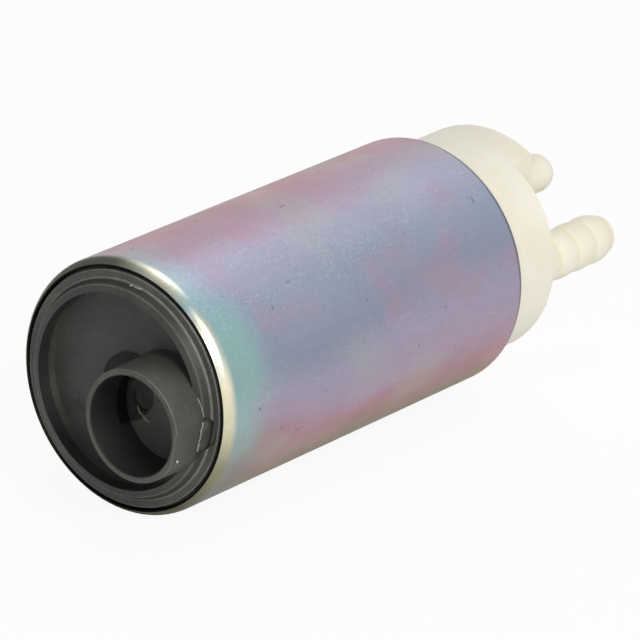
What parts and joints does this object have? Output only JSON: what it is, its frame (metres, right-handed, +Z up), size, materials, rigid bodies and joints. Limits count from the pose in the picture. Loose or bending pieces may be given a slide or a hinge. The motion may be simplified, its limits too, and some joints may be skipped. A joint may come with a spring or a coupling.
{
  "type": "fuel pump",
  "caption": "Electric in-tank fuel pump: plated steel tube, black inlet cover with offset spout, pale outlet cover with hose barb and blade connector, brushed motor and turbine stage.",
  "frame": {"origin": "centre of the steel shell, on its axis", "axes": "+X along the shell's axis towards the outlet, +Z up with the pump lying on its side, -Y towards the side that carries the spout and the barb"},
  "size_m": [0.1062, 0.038, 0.038],
  "materials": {
    "zinc_plated_steel": "zinc plated and passivated, iridescent, satin",
    "black_plastic": "moulded, fine matt grain",
    "cream_plastic": "moulded acetal, silky matt",
    "brown_plastic": "moulded phenolic, matt",
    "insulator_plastic": "moulded, matt",
    "impeller_plastic": "moulded phenolic, ground faces",
    "pump_aluminium": "die cast, machined faces",
    "sintered_bronze": "sintered, oiled",
    "ferrite": "sintered ceramic, ground",
    "lamination_steel": "stamped sheet stack",
    "hardened_steel": "ground and polished",
    "spring_steel": "drawn wire and strip",
    "brass": "turned",
    "tinned_brass": "tin plated strip",
    "copper_wire": "enamelled copper wire",
    "carbon": "pressed carbon, matt",
    "seal_rubber": "moulded, matt",
    "valve_rubber": "moulded, matt"
  },
  "bodies": {
    "casing": {"shell": "zinc_plated_steel", "inlet_cover": "black_plastic", "inlet_seal": "seal_rubber", "thrust_button": "hardened_steel", "pump_body": "pump_aluminium", "lower_bushing": "sintered_bronze", "magnet_near": "ferrite", "magnet_far": "ferrite", "magnet_clip_top": "spring_steel", "magnet_clip_bottom": "spring_steel", "brush_holder": "brown_plastic", "upper_bushing": "sintered_bronze", "outlet_cover": "cream_plastic", "outlet_seal": "seal_rubber", "check_valve_seat": "brass", "check_valve_spring": "spring_steel", "relief_valve_seat": "brass", "relief_valve_spring": "spring_steel", "terminal_lower": "tinned_brass", "terminal_upper": "tinned_brass", "choke_lower": "copper_wire", "choke_upper": "copper_wire", "brush_spring_near": "spring_steel", "brush_spring_far": "spring_steel"},
    "rotor": {"shaft": "hardened_steel", "impeller": "impeller_plastic", "armature_core": "lamination_steel", "front_insulator": "insulator_plastic", "rear_insulator": "insulator_plastic", "armature_winding": "copper_wire", "commutator_hub": "insulator_plastic", "commutator_segments": "carbon", "thrust_washer": "insulator_plastic"},
    "brush_near": {"brush_near": "carbon"},
    "brush_far": {"brush_far": "carbon"},
    "check_valve": {"check_valve_poppet": "valve_rubber"},
    "relief_valve": {"relief_valve_ball": "hardened_steel"}
  },
  "joints": [
    {"name": "rotor_spin", "type": "hinge", "parent": "casing", "child": "rotor", "pos_m": [0, 0, 0], "axis": [1, 0, 0], "continuous": true},
    {"name": "brush_near_slide", "type": "slide", "parent": "casing", "child": "brush_near", "axis": [1, 0, 0], "range_m": [0, 0.002], "stiffness_N_per_m": 120, "springref_m": -0.004, "deforming": ["brush_spring_near"]},
    {"name": "brush_far_slide", "type": "slide", "parent": "casing", "child": "brush_far", "axis": [1, 0, 0], "range_m": [0, 0.002], "stiffness_N_per_m": 120, "springref_m": -0.004, "deforming": ["brush_spring_far"]},
    {"name": "check_valve_slide", "type": "slide", "parent": "casing", "child": "check_valve", "axis": [1, 0, 0], "range_m": [0, 0.0018], "stiffness_N_per_m": 60, "springref_m": -0.003, "deforming": ["check_valve_spring"]},
    {"name": "relief_valve_slide", "type": "slide", "parent": "casing", "child": "relief_valve", "axis": [1, 0, 0], "range_m": [0, 0.001], "stiffness_N_per_m": 400, "springref_m": -0.003, "deforming": ["relief_valve_spring"]}
  ]
}
